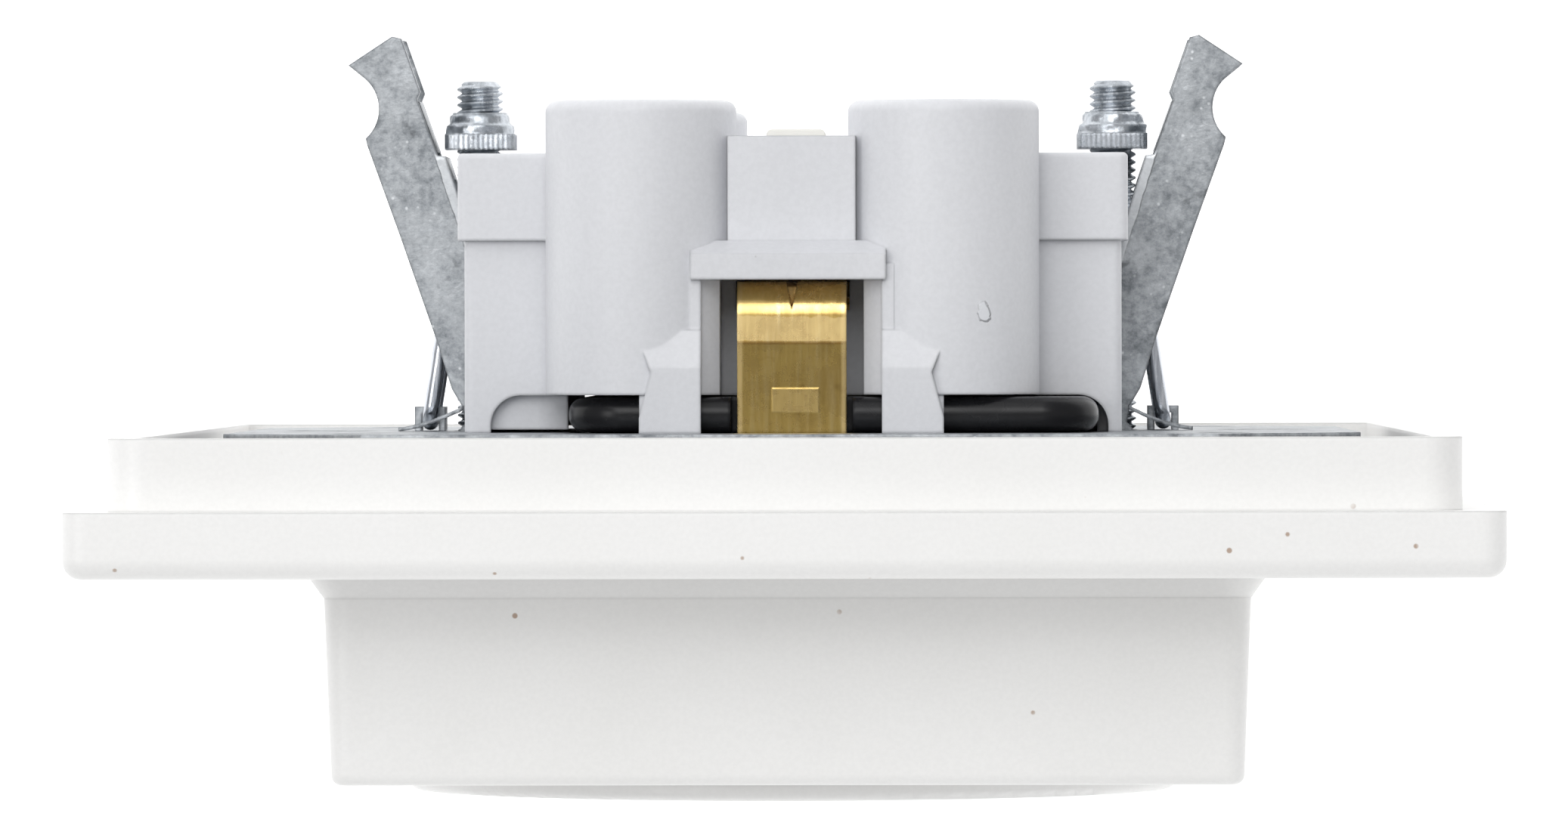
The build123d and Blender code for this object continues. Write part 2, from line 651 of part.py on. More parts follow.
def earth_bridge():
    """The brass strip that joins the earth terminals to both yokes, rolled over at each end."""
    foot = YOKE_BACK
    outer = block(-STRIP_HALF_X, STRIP_HALF_X, foot, BRIDGE_BACK, -BRIDGE_OUT_Z, BRIDGE_OUT_Z)
    ridges = [e for e in front_edges(outer, BRIDGE_BACK) if e.length > STRIP_HALF_X and e.length < 8]
    outer = fillet(ridges, BRIDGE_BEND)
    inner_z = BRIDGE_OUT_Z - BRIDGE_THICK
    inner_y = BRIDGE_BACK - BRIDGE_THICK
    inner = block(-5, 5, foot - 1, inner_y, -inner_z, inner_z)
    ridges = [e for e in front_edges(inner, inner_y) if e.length < 12]
    inner = fillet(ridges, BRIDGE_BEND - BRIDGE_THICK)
    bridge = outer - inner
    for end in (1, -1):
        low, high = sorted((end * BRIDGE_TAB_Z, end * (BRIDGE_TAB_Z + BRIDGE_THICK)))
        bridge += block(-YOKE_HALF_X, YOKE_HALF_X, BRIDGE_BACK - 0.2, 14.4, low, high)
        # the pinch that stiffens the bend
        rim = BRIDGE_BACK + 0.1
        wedge = [(-PINCH_HALF_X, rim), (PINCH_HALF_X, rim), (0, BRIDGE_BACK - PINCH_DEPTH)]
        notch = prism_z(wedge, 0, 1.4)
        bridge -= Pos(0, 0, BRIDGE_OUT_Z - 0.95 if end == 1 else -BRIDGE_OUT_Z - 0.45) * notch
    return bridge


def earth_yoke():
    """The upper well's earth strip: two sprung fingers on one brass base."""
    low = WELL_Z - YOKE_REACH
    high = WELL_Z + YOKE_REACH
    yoke = block(-YOKE_HALF_X, YOKE_HALF_X, YOKE_FRONT, YOKE_BACK, low, high)
    middle = YOKE_REACH + YOKE_THICK / 2
    line = [
        (YOKE_BACK, middle),
        (-6.0, middle),
        (-9.5, 17.5),
        (-11.6, 16.75),
        (-13.6, 17.1),
        (-16.6, 18.5),
    ]
    for end in (1, -1):
        outline = [(y, WELL_Z + end * r) for y, r in ribbon(line, YOKE_THICK)]
        yoke += prism_x(outline, -YOKE_HALF_X, YOKE_HALF_X)
    yoke -= rod(0, WELL_Z, COVER_SCREW_R + 0.2, YOKE_FRONT - 1, YOKE_BACK + 1)
    return yoke


# ---- release levers -----------------------------------------------------------------

def release_lever(side):
    """A push piece that opens both clamps of one rail."""
    x = side * LEVER_X
    lever = block(x - 1.7, x + 1.7, BASE_ROOF - 0.5, BASE_BACK + LEVER_PROUD, -2.6, 2.6)
    lever = fillet(front_edges(lever, BASE_BACK + LEVER_PROUD), 0.4)
    near, far = sorted((side * 11.9, side * 13.7))
    lever += block(near, far, 13.4, BASE_ROOF - 0.1, -8.1, 8.1)
    for end in (1, -1):
        low, high = sorted((end * 4.9, end * 8.1))
        lever += block(near, far, 10.6, 13.5, low, high)
    return lever


def earth_lever():
    lever = block(-1.9, 1.9, 16.0, BLOCK_BACK + LEVER_PROUD, -2.1, 2.1)
    lever = fillet(front_edges(lever, BLOCK_BACK + LEVER_PROUD), 0.4)
    return lever + block(-2.5, 2.5, 16.1, BLOCK_BACK - 1.6, -4.6, 4.6)


# ---- claws --------------------------------------------------------------------------

def claw_cheek(z0):
    """One side of the left claw: hooked tip, straight blade, and a round foot that hinges in the ring."""
    tab_in = -CLAW_PIVOT_X + 0.6
    tab_out = -CLAW_PIVOT_X - 0.6
    inner_edge = Polyline(
        (-27.6, 22.6),
        (-28.7, 23.5),
        (-25.9, 25.35),
        (-25.3, 25.2),
        (-24.1, 21.8),
        (-24.3, 21.3),
        (-23.0, 17.7),
        (-22.5, 17.65),
        (-19.05, 7.0),
        (-19.6, 0.35),
        (tab_in, 0.35),
        (tab_in, -1.5),
        (tab_out, -1.5),
        (tab_out, 0.35),
        (-21.45, 1.6),
        (-22.1, 2.7),
        (-23.1, 5.9),
        (-25.5, 12.8),
        (-27.5, 18.35),
        (-27.6, 18.8),
    )
    bite = ThreePointArc((-27.6, 18.8), (-26.75, 20.75), (-27.6, 22.6))
    cheek = extrude(make_face(inner_edge + bite), amount=SHEET)
    cheek += extrude(Pos(-CLAW_PIVOT_X, CLAW_PIVOT_Y) * Circle(CLAW_PIVOT_R), amount=SHEET)
    return Pos(0, 0, z0) * cheek


def claw():
    """The left claw: two cheeks joined by a web that is slotted for the screw."""
    shape = claw_cheek(CHEEK_IN_Z) + claw_cheek(-CHEEK_IN_Z - SHEET)
    foot = Vector(-19.05, 7.0)
    top = Vector(-22.5, 17.65)
    along = (top - foot).normalized()
    out = Vector(-along.Y, along.X)
    slot_top = top - along * 1.5

    def corner(point, steps):
        spot = point + out * steps
        return (spot.X, spot.Y)

    web = [corner(foot, 0), corner(top, 0), corner(top, WEB_THICK), corner(foot, WEB_THICK)]
    shape += prism_z(web, -CHEEK_IN_Z - 0.2, CHEEK_IN_Z + 0.2)
    slot = [corner(foot - along, -1), corner(slot_top, -1), corner(slot_top, 2), corner(foot - along, 2)]
    shape -= prism_z(slot, -WEB_SLOT_HALF, WEB_SLOT_HALF)
    brace = [(-23.05, 18.0), (-24.2, 21.2), (-25.05, 20.9), (-23.9, 17.7)]
    shape += prism_z(brace, -CHEEK_IN_Z - 0.2, CHEEK_IN_Z + 0.2)
    return shape


def claw_nut():
    """The left plate nut with its drawn collar."""
    x = -SCREW_X
    back = NUT_FRONT + NUT_THICK
    nut = block(-NUT_OUT_X, -NUT_IN_X, NUT_FRONT, back, -NUT_HALF_Z, NUT_HALF_Z)
    nut = fillet(nut.edges().filter_by(Axis.Y), 0.5)
    nut += rod(x, 0, 2.2, back, back + 0.7)
    nut += cone(x, 0, 2.0, 1.8, back + 0.69, back + 1.4)
    nut -= rod(x, 0, NUT_BORE_R, NUT_FRONT - 1, back + 3)
    return nut


def claw_screw():
    """The left claw screw, turned from the front."""
    x = -SCREW_X
    screw = rod(x, 0, SCREW_R, SCREW_HEAD_FRONT + 0.5, SCREW_END - 0.35)
    screw += cone(x, 0, SCREW_R, SCREW_R - 0.35, SCREW_END - 0.35, SCREW_END)
    head = rod(x, 0, SCREW_HEAD_R, SCREW_HEAD_FRONT, RING_FRONT - 0.05)
    screw += fillet(front_edges(head, SCREW_HEAD_FRONT), 0.5)
    half = DRIVE_SLOT_WIDTH / 2
    screw -= block(x - half, x + half, SCREW_HEAD_FRONT - 1, SCREW_HEAD_FRONT + 0.9, -4, 4)
    return screw


def claw_bail():
    """The left return spring: a wire hairpin whose two legs press on the claw's web."""
    lean = Vector(BAIL_X - BAIL_TOP_X, BAIL_TOP_Y - BAIL_Y)
    foot = Vector(-BAIL_X, BAIL_Y, 0)
    top = Vector(-BAIL_TOP_X, BAIL_TOP_Y, 0)
    side = Vector(0, 0, BAIL_HALF_Z)
    path = FilletPolyline(top + side, foot + side, foot - side, top - side, radius=1.0)
    start = Plane(origin=top + side, z_dir=Vector(-lean.X, -lean.Y, 0))
    return sweep(start * Circle(BAIL_WIRE_R), path=path)


# ---- write the parts ----------------------------------------------------------------

def main():
    os.makedirs("parts", exist_ok=True)
    save("cover_plate", cover_plate())
    save("well_floor_upper", well_floor(1))
    save("well_floor_lower", well_floor(-1))
    save("cover_screws", cover_screw(1), cover_screw(-1))
    save("shutter_upper", shutter())
    save("shutter_lower", mirrored_z(shutter()))
    save("shutter_spring_upper", shutter_spring())
    save("shutter_spring_lower", mirrored_z(shutter_spring()))
    save("front_carrier", front_carrier())
    save("support_ring", support_ring())
    corners = [(x * RING_SCREW_X, z * RING_SCREW_Z) for x in (-1, 1) for z in (-1, 1)]
    save("ring_screws", *[ring_screw(x, z) for x, z in corners])
    save("insulating_plate", insulating_plate())
    save("rear_base", rear_base())
    save("live_rail", contact_rail(-1))
    save("neutral_rail", contact_rail(1))
    save("live_clamp_springs", clamp_spring(-1, 1), clamp_spring(-1, -1))
    save("neutral_clamp_springs", clamp_spring(1, 1), clamp_spring(1, -1))
    save("earth_clamp_springs", earth_clamp_spring(1), earth_clamp_spring(-1))
    save("earth_bridge", earth_bridge())
    save("earth_yoke_upper", earth_yoke())
    save("earth_yoke_lower", mirrored_z(earth_yoke()))
    save("release_lever_live", release_lever(-1))
    save("release_lever_neutral", release_lever(1))
    save("release_lever_earth", earth_lever())
    save("claw_left", claw())
    save("claw_right", mirrored_x(claw()))
    save("claw_nut_left", claw_nut())
    save("claw_nut_right", mirrored_x(claw_nut()))
    save("claw_screw_left", claw_screw())
    save("claw_screw_right", mirrored_x(claw_screw()))
    save("claw_spring_left", claw_bail())
    save("claw_spring_right", mirrored_x(claw_bail()))


main()
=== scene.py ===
import json
import math
import random
import bmesh
import bpy
from mathutils import Matrix, Vector


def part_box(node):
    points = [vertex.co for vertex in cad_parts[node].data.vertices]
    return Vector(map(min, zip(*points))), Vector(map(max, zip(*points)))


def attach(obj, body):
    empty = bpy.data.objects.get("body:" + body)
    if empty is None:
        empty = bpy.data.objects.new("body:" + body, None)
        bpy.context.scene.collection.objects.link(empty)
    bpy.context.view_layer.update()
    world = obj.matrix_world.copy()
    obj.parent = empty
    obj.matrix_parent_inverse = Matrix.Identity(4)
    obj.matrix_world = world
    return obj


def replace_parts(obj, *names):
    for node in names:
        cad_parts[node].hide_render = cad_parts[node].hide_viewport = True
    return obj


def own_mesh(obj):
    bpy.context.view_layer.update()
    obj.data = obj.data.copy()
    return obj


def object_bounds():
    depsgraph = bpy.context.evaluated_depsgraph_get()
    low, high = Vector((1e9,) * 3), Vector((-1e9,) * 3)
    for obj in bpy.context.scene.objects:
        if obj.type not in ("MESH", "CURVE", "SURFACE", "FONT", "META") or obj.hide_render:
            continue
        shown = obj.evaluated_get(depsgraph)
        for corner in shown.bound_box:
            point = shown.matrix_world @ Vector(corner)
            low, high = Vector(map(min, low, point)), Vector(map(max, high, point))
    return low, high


# Looks of a double earthed wall socket. The wall plane is Y = 0, +Y goes into the wall and +Z is up.
# The camera looks down on the top end, with the rear of the socket towards the picture's top.

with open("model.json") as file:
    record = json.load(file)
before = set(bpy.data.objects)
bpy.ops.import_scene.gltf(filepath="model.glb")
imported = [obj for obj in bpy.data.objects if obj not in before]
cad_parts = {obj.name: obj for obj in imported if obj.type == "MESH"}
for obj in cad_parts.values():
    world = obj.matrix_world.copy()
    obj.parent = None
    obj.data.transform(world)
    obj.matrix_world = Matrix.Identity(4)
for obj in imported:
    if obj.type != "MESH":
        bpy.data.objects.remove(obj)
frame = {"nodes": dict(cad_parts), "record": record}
cad_low, cad_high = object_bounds()

MM = 0.001


# ---- node trees -------------------------------------------------------------------------

class Tree:
    """A material's node tree, with short calls for the nodes that the finishes below need."""

    def __init__(self, name):
        self.material = bpy.data.materials.new(name)
        self.material.use_nodes = True
        self.nodes = self.material.node_tree.nodes
        self.links = self.material.node_tree.links
        self.shader = self.nodes["Principled BSDF"]
        self.place = self.nodes.new("ShaderNodeTexCoord").outputs["Object"]

    def feed(self, socket, value):
        """Links a node's output, or sets a number or colour."""
        if hasattr(value, "is_linked"):
            self.links.new(value, socket)
        elif isinstance(value, (int, float)):
            socket.default_value = value
        else:
            socket.default_value = (*value, 1.0)

    def stretched(self, scale):
        node = self.nodes.new("ShaderNodeMapping")
        node.inputs["Scale"].default_value = scale
        self.feed(node.inputs["Vector"], self.place)
        return node.outputs["Vector"]

    def noise(self, scale, detail=4.0, rough=0.55, vector=None):
        node = self.nodes.new("ShaderNodeTexNoise")
        node.inputs["Scale"].default_value = scale
        node.inputs["Detail"].default_value = detail
        node.inputs["Roughness"].default_value = rough
        self.feed(node.inputs["Vector"], vector or self.place)
        return node.outputs["Fac"]

    def cells(self, scale):
        node = self.nodes.new("ShaderNodeTexVoronoi")
        node.inputs["Scale"].default_value = scale
        self.feed(node.inputs["Vector"], self.place)
        return node.outputs["Distance"]

    def ramp(self, source, *stops):
        """Stops are (position, grey or colour)."""
        node = self.nodes.new("ShaderNodeValToRGB")
        elements = node.color_ramp.elements
        while len(elements) < len(stops):
            elements.new(0.5)
        for element, (position, value) in zip(elements, stops):
            element.position = position
            colour = (value, value, value) if isinstance(value, (int, float)) else value
            element.color = (*colour, 1.0)
        self.feed(node.inputs["Fac"], source)
        return node.outputs["Color"]

    def mix(self, factor, a, b, blend="MIX"):
        node = self.nodes.new("ShaderNodeMix")
        node.data_type = "RGBA"
        node.blend_type = blend
        self.feed(node.inputs[0], factor)
        self.feed(node.inputs[6], a)
        self.feed(node.inputs[7], b)
        return node.outputs[2]

    def math(self, operation, a, b=0.0):
        node = self.nodes.new("ShaderNodeMath")
        node.operation = operation
        self.feed(node.inputs[0], a)
        self.feed(node.inputs[1], b)
        return node.outputs[0]

    def axes_mm(self):
        """X, Y and Z of the surface point in millimetres."""
        node = self.nodes.new("ShaderNodeSeparateXYZ")
        self.feed(node.inputs[0], self.place)
        return [self.math("MULTIPLY", output, 1000.0) for output in node.outputs]

    def step(self, value, edge, soft):
        """0 below the edge and 1 above it, over a soft width."""
        node = self.nodes.new("ShaderNodeMapRange")
        node.interpolation_type = "SMOOTHSTEP"
        self.feed(node.inputs["Value"], value)
        self.feed(node.inputs["From Min"], edge - soft / 2)
        self.feed(node.inputs["From Max"], edge + soft / 2)
        return node.outputs[0]

    def band(self, value, low, high, soft):
        inside = self.step(value, low, soft)
        beyond = self.step(value, high, soft)
        return self.math("SUBTRACT", inside, beyond)

    def specks(self, scale, size, patches, share):
        """Small dots in a few places only."""
        dots = self.ramp(self.cells(scale), (size, 1.0), (size * 1.5, 0.0))
        places = self.ramp(self.noise(patches, 1), (share, 0.0), (share + 0.03, 1.0))
        return self.math("MULTIPLY", dots, places)

    def rounded(self, radius_mm):
        """A normal that is rounded where faces meet."""
        node = self.nodes.new("ShaderNodeBevel")
        node.samples = 4
        node.inputs["Radius"].default_value = radius_mm * MM
        return node.outputs["Normal"]

    def bump(self, height, strength, depth_mm, under):
        node = self.nodes.new("ShaderNodeBump")
        node.inputs["Strength"].default_value = strength
        node.inputs["Distance"].default_value = depth_mm * MM
        self.feed(node.inputs["Height"], height)
        self.feed(node.inputs["Normal"], under)
        return node.outputs["Normal"]

    def finish(self, colour, rough, normal, **constants):
        self.feed(self.shader.inputs["Base Color"], colour)
        self.feed(self.shader.inputs["Roughness"], rough)
        self.feed(self.shader.inputs["Normal"], normal)
        for name, value in constants.items():
            self.shader.inputs[name.replace("_", " ")].default_value = value
        return self.material


# ---- finishes ---------------------------------------------------------------------------

def white_plastic():
    """Warm white moulding: faint clouding, a very fine skin and a few brown specks."""
    t = Tree("white_plastic")
    colour = t.ramp(t.noise(60, 3), (0.3, (0.855, 0.85, 0.835)), (0.7, (0.885, 0.88, 0.868)))
    grain = t.ramp(t.noise(3600, 2), (0.35, 0.975), (0.65, 1.0))
    colour = t.mix(1.0, colour, grain, "MULTIPLY")
    colour = t.mix(t.specks(300, 0.040, 110, 0.53), colour, (0.45, 0.34, 0.27))
    rough = t.ramp(t.noise(700, 3), (0.3, 0.33), (0.7, 0.43))
    skin = t.bump(t.noise(2600, 3), 0.10, 0.04, t.rounded(0.35))
    return t.finish(colour, rough, t.bump(t.noise(45, 1), 0.08, 0.5, skin))


GATE_X = 12.0
GATE_Y = 7.5
GATE_FLATTEN = 0.7
GATE_R = 0.85
TOWER_FACE_Z = 15.0


def grey_plastic():
    """Cool light grey moulding with soft flow marks, dark inclusions and one gate mark on a tower."""
    t = Tree("grey_plastic")
    flow = t.noise(90, 4, 0.6, t.stretched((1, 0.35, 1)))
    colour = t.ramp(flow, (0.3, (0.670, 0.677, 0.703)), (0.7, (0.720, 0.727, 0.753)))
    grain = t.ramp(t.noise(3000, 2), (0.35, 0.96), (0.65, 1.0))
    colour = t.mix(1.0, colour, grain, "MULTIPLY")
    colour = t.mix(t.specks(420, 0.05, 150, 0.62), colour, (0.27, 0.26, 0.24))
    x, y, z = t.axes_mm()
    across = t.math("POWER", t.math("SUBTRACT", x, GATE_X), 2.0)
    along = t.math("POWER", t.math("MULTIPLY", t.math("SUBTRACT", y, GATE_Y), GATE_FLATTEN), 2.0)
    wobble = t.math("MULTIPLY", t.noise(1500, 2), 0.9)
    reach = t.math("ADD", t.math("SQRT", t.math("ADD", across, along)), wobble)
    within = t.math("SUBTRACT", 1.0, t.step(reach, GATE_R, 0.2))
    mark = t.math("MULTIPLY", within, t.step(z, TOWER_FACE_Z, 1.0))
    colour = t.mix(t.math("MULTIPLY", mark, 0.5), colour, (0.78, 0.80, 0.83))
    rough = t.ramp(t.noise(900, 3), (0.3, 0.38), (0.7, 0.50))
    skin = t.bump(t.noise(1900, 4), 0.14, 0.05, t.rounded(0.3))
    return t.finish(colour, rough, t.bump(mark, 0.8, 0.25, skin))


def lever_plastic():
    """Pale push pieces, a little yellower than the base."""
    t = Tree("lever_plastic")
    colour = t.ramp(t.noise(120, 4), (0.3, (0.74, 0.73, 0.68)), (0.7, (0.80, 0.79, 0.75)))
    rough = t.ramp(t.noise(800, 3), (0.3, 0.34), (0.7, 0.46))
    return t.finish(colour, rough, t.bump(t.noise(1800, 3), 0.12, 0.05, t.rounded(0.15)))


def black_plastic():
    """Glossy black insulating moulding with faint dust."""
    t = Tree("black_plastic")
    colour = t.ramp(t.noise(300, 4), (0.3, (0.007, 0.007, 0.008)), (0.7, (0.014, 0.014, 0.016)))
    dust = t.ramp(t.noise(2400, 2), (0.70, 0.0), (0.80, 0.08))
    colour = t.mix(dust, colour, (0.20, 0.19, 0.18))
    rough = t.ramp(t.noise(500, 3), (0.3, 0.20), (0.7, 0.32))
    wave = t.bump(t.noise(240, 3), 0.15, 0.2, t.rounded(0.3))
    return t.finish(colour, rough, wave, Specular_IOR_Level=0.22)


# Line of the claw's web, and where the painted highlight strip beside its fold lies.
CLAW_WEB_FOOT = (19.05, 7.0)
CLAW_WEB_TOP = (22.5, 17.65)
HIGHLIGHT_STRIP_ACROSS = (-0.4, 0.75)
HIGHLIGHT_STRIP_ALONG_Y = (3.0, 17.7)


def zinc(name, dark, light, smooth, dull, painted_fold_highlight=False):
    """Zinc-plated steel: grey mottling of two sizes, bright grains and dull spots.

    A folded sheet also gets a painted highlight: a paler strip beside the web that it is folded from,
    where light catches the bend."""
    t = Tree(name)
    cloud = t.mix(0.42, t.noise(330, 6, 0.7), t.noise(1700, 4, 0.7))
    middle = [(a + b) / 2 for a, b in zip(dark, light)]
    colour = t.ramp(cloud, (0.38, dark), (0.51, middle), (0.66, light))
    grains = t.ramp(t.cells(1900), (0.10, 1.0), (0.24, 0.0))
    some = t.ramp(t.noise(520, 2), (0.54, 0.0), (0.66, 0.55))
    colour = t.mix(t.math("MULTIPLY", grains, some), colour, (0.86, 0.88, 0.90))
    spots = t.ramp(t.noise(700, 3), (0.64, 0.0), (0.74, 0.6))
    colour = t.mix(spots, colour, [0.40 * v for v in dark])
    rough = t.ramp(cloud, (0.35, dull), (0.65, smooth))
    normal = t.bump(t.noise(1300, 4, 0.7), 0.35, 0.06, t.rounded(0.22))
    # Painted highlight: a paler strip along the fold of the web.
    if painted_fold_highlight:
        x, y, _ = t.axes_mm()
        run = (Vector(CLAW_WEB_TOP) - Vector(CLAW_WEB_FOOT)).normalized()
        sideways = t.math("SUBTRACT", t.math("ABSOLUTE", x), CLAW_WEB_FOOT[0])
        outward = t.math("MULTIPLY", sideways, run.y)
        upward = t.math("MULTIPLY", t.math("SUBTRACT", y, CLAW_WEB_FOOT[1]), run.x)
        wander = t.math("MULTIPLY", t.noise(900, 2), 0.25)
        ragged = t.math("ADD", t.math("SUBTRACT", outward, upward), wander)
        highlight_strip = t.math("MULTIPLY", t.band(ragged, *HIGHLIGHT_STRIP_ACROSS, 0.1), t.band(y, *HIGHLIGHT_STRIP_ALONG_Y, 0.6))
        colour = t.mix(t.math("MULTIPLY", highlight_strip, 0.55), colour, (0.74, 0.76, 0.78))
        normal = t.bump(highlight_strip, 0.5, 0.12, normal)
    return t.finish(colour, rough, t.bump(t.noise(210, 3), 0.25, 0.25, normal), Metallic=1.0)


def spring_steel():
    """Bright drawn wire with lines along it."""
    t = Tree("spring_steel")
    lines = t.noise(2600, 3, 0.6, t.stretched((1, 0.08, 1)))
    colour = t.ramp(lines, (0.3, (0.42, 0.45, 0.50)), (0.7, (0.78, 0.80, 0.84)))
    rough = t.ramp(lines, (0.3, 0.12), (0.7, 0.24))
    return t.finish(colour, rough, t.bump(lines, 0.15, 0.03, t.rounded(0.1)), Metallic=1.0)


# Where the earth bridge's marks lie: the painted dark reflection on the flat end, the painted step
# shade, the paler band, the painted roll highlight, the coined field, the notch's painted shade and
# the paler side edges.
FLAT_END_Y = 5.64
STEP_SHADE_Y = (5.54, 5.74)
PALE_BAND_Y = (6.15, 7.75)
ROLL_HIGHLIGHT_Y = 7.5
COIN_X = (-1.25, 1.7)
COIN_Y = (1.3, 2.8)
NOTCH_TIP_Y = 7.75
NOTCH_SLOPE = 0.21
BORDER_X = 3.1


def brass(name, pressed_with_painted_light):
    """Rolled brass: drawing lines along Y, olive tarnish and brown stains.

    The earth bridge is also pressed, with a notch in the roll and a small coined field on the flat
    face, and it has painted light:
    a painted dark reflection on the flat end, painted shade in the notch and along a step line, a
    painted highlight on the roll, and a paler ragged band just under the roll."""
    t = Tree(name)
    lines = t.noise(2600, 4, 0.65, t.stretched((1, 0.07, 1)))
    dark, middle, light = (0.52, 0.32, 0.08), (0.74, 0.50, 0.17), (0.95, 0.74, 0.38)
    metal = t.ramp(lines, (0.30, dark), (0.52, middle), (0.74, light))
    tarnish = t.ramp(t.noise(260, 5, 0.7), (0.42, 0.0), (0.62, 0.6))
    colour = t.mix(tarnish, metal, (0.42, 0.32, 0.10))
    stains = t.ramp(t.noise(560, 3, 0.6), (0.62, 0.0), (0.70, 0.7))
    colour = t.mix(stains, colour, (0.27, 0.13, 0.03))
    colour = t.mix(t.specks(1500, 0.07, 500, 0.60), colour, (1.0, 0.90, 0.66))
    normal = t.bump(lines, 0.35, 0.05, t.rounded(0.18))
    if pressed_with_painted_light:
        x, y, _ = t.axes_mm()
        side = t.math("ABSOLUTE", x)
        ripple = t.noise(700, 3, 0.6, t.stretched((1, 0.2, 1)))
        uneven = t.math("ADD", y, t.math("MULTIPLY", ripple, 0.9))
        # Painted dark reflection: the flat end is painted darker.
        face_dark_reflection = t.math("SUBTRACT", 1.0, t.step(y, FLAT_END_Y, 0.1))
        colour = t.mix(t.math("MULTIPLY", face_dark_reflection, 0.78), colour, (0.17, 0.12, 0.035))
        # A paler ragged band just below the roll.
        pale_band = t.band(uneven, *PALE_BAND_Y, 0.12)
        colour = t.mix(t.math("MULTIPLY", pale_band, 0.55), colour, (0.86, 0.66, 0.33))
        # Painted highlight on the rolled bend.
        roll_highlight = t.step(y, ROLL_HIGHLIGHT_Y, 0.4)
        colour = t.mix(t.math("MULTIPLY", roll_highlight, 0.45), colour, (0.98, 0.72, 0.30))
        # Painted shade: a dark line where the flat end steps up.
        shade = t.band(y, *STEP_SHADE_Y, 0.1)
        colour = t.mix(t.math("MULTIPLY", shade, 0.7), colour, (0.20, 0.11, 0.03))
        coined = t.math("MULTIPLY", t.band(x, *COIN_X, 0.15), t.band(y, *COIN_Y, 0.15))
        colour = t.mix(t.math("MULTIPLY", coined, 0.32), colour, (0.62, 0.46, 0.20))
        opening = t.math("MULTIPLY", t.math("SUBTRACT", y, NOTCH_TIP_Y), NOTCH_SLOPE)
        # Painted shade: the notch in the roll is painted dark, not cut.
        notch_shade = t.step(t.math("SUBTRACT", opening, side), 0.0, 0.06)
        colour = t.mix(t.math("MULTIPLY", notch_shade, 0.8), colour, (0.16, 0.08, 0.02))
        border = t.step(side, BORDER_X, 0.15)
        colour = t.mix(t.math("MULTIPLY", border, 0.28), colour, (0.90, 0.70, 0.36))
        normal = t.bump(coined, 0.35, 0.05, normal)
    rough = t.ramp(tarnish, (0.0, 0.24), (1.0, 0.42))
    return t.finish(colour, rough, normal, Metallic=1.0)


ZINC_DARK = (0.20, 0.215, 0.23)
ZINC_LIGHT = (0.50, 0.52, 0.54)
BRIGHT_DARK = (0.30, 0.33, 0.36)
BRIGHT_LIGHT = (0.66, 0.69, 0.73)

FINISH = {
    "white_plastic": white_plastic(),
    "grey_plastic": grey_plastic(),
    "lever_plastic": lever_plastic(),
    "black_plastic": black_plastic(),
    "zinc_steel": zinc("zinc_steel", ZINC_DARK, ZINC_LIGHT, 0.32, 0.52),
    "spring_steel": spring_steel(),
    "brass": brass("brass", pressed_with_painted_light=False),
}
SCREW_FINISH = zinc("zinc_bright", BRIGHT_DARK, BRIGHT_LIGHT, 0.20, 0.34)
CLAW_FINISH = zinc("zinc_claw", ZINC_DARK, ZINC_LIGHT, 0.32, 0.52, painted_fold_highlight=True)
BRIDGE_FINISH = brass("brass_bridge", pressed_with_painted_light=True)


def paint(obj, material):
    obj.data.materials.clear()
    obj.data.materials.append(material)


def paint_nodes():
    own = {"claw_left": CLAW_FINISH, "claw_right": CLAW_FINISH, "earth_bridge": BRIDGE_FINISH}
    slots = {part["node"]: part["material_slot"] for part in frame["record"]["subparts"]}
    for node, obj in frame["nodes"].items():
        paint(obj, own.get(node, FINISH[slots[node]]))


# ---- new pieces -------------------------------------------------------------------------

def add_piece(name, bm, body, material):
    """Turns a bmesh in millimetres into a piece that rides on a body."""
    bmesh.ops.recalc_face_normals(bm, faces=bm.faces)
    bmesh.ops.scale(bm, vec=(MM, MM, MM), verts=bm.verts)
    mesh = bpy.data.meshes.new(name)
    bm.to_mesh(mesh)
    bm.free()
    piece = bpy.data.objects.new(name, mesh)
    bpy.context.scene.collection.objects.link(piece)
    paint(piece, material)
    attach(piece, body)
    return piece


def lathe(bm, x, radius_at, stations, sides):
    """A closed skin around the line through (x, 0) along Y. radius_at takes y and the angle."""
    rings = []
    for y in stations:
        ring = []
        for i in range(sides):
            turn = 2 * math.pi * i / sides
            r = radius_at(y, turn)
            ring.append(bm.verts.new((x + r * math.cos(turn), y, r * math.sin(turn))))
        rings.append(ring)
    for low, high in zip(rings, rings[1:]):
        for i in range(sides):
            j = (i + 1) % sides
            bm.faces.new((low[i], low[j], high[j], high[i]))
    bm.faces.new(rings[0])
    bm.faces.new(rings[-1])


def prism(bm, outline, low_y, high_y):
    """A closed prism along Y over an outline of (x, z) points."""
    ends = [[bm.verts.new((px, y, pz)) for px, pz in outline] for y in (low_y, high_y)]
    for i in range(len(outline)):
        j = (i + 1) % len(outline)
        bm.faces.new((ends[0][i], ends[0][j], ends[1][j], ends[1][i]))
    bm.faces.new(ends[0])
    bm.faces.new(ends[1])


def spread(low, high, step):
    count = max(1, math.ceil((high - low) / step))
    return [low + (high - low) * i / count for i in range(count + 1)]


THREAD_R = 1.49
THREAD_CORE_R = 1.16
THREAD_PITCH = 0.5
SCREW_SIDES = 28
HEAD_THICK = 1.65
DRIVE_DEPTH = 0.6
DRIVE_HALF = 0.4
CREST_FLAT = 1.25
CHAMFER_START = 0.1
HEAD_ARC_STEP = 0.25


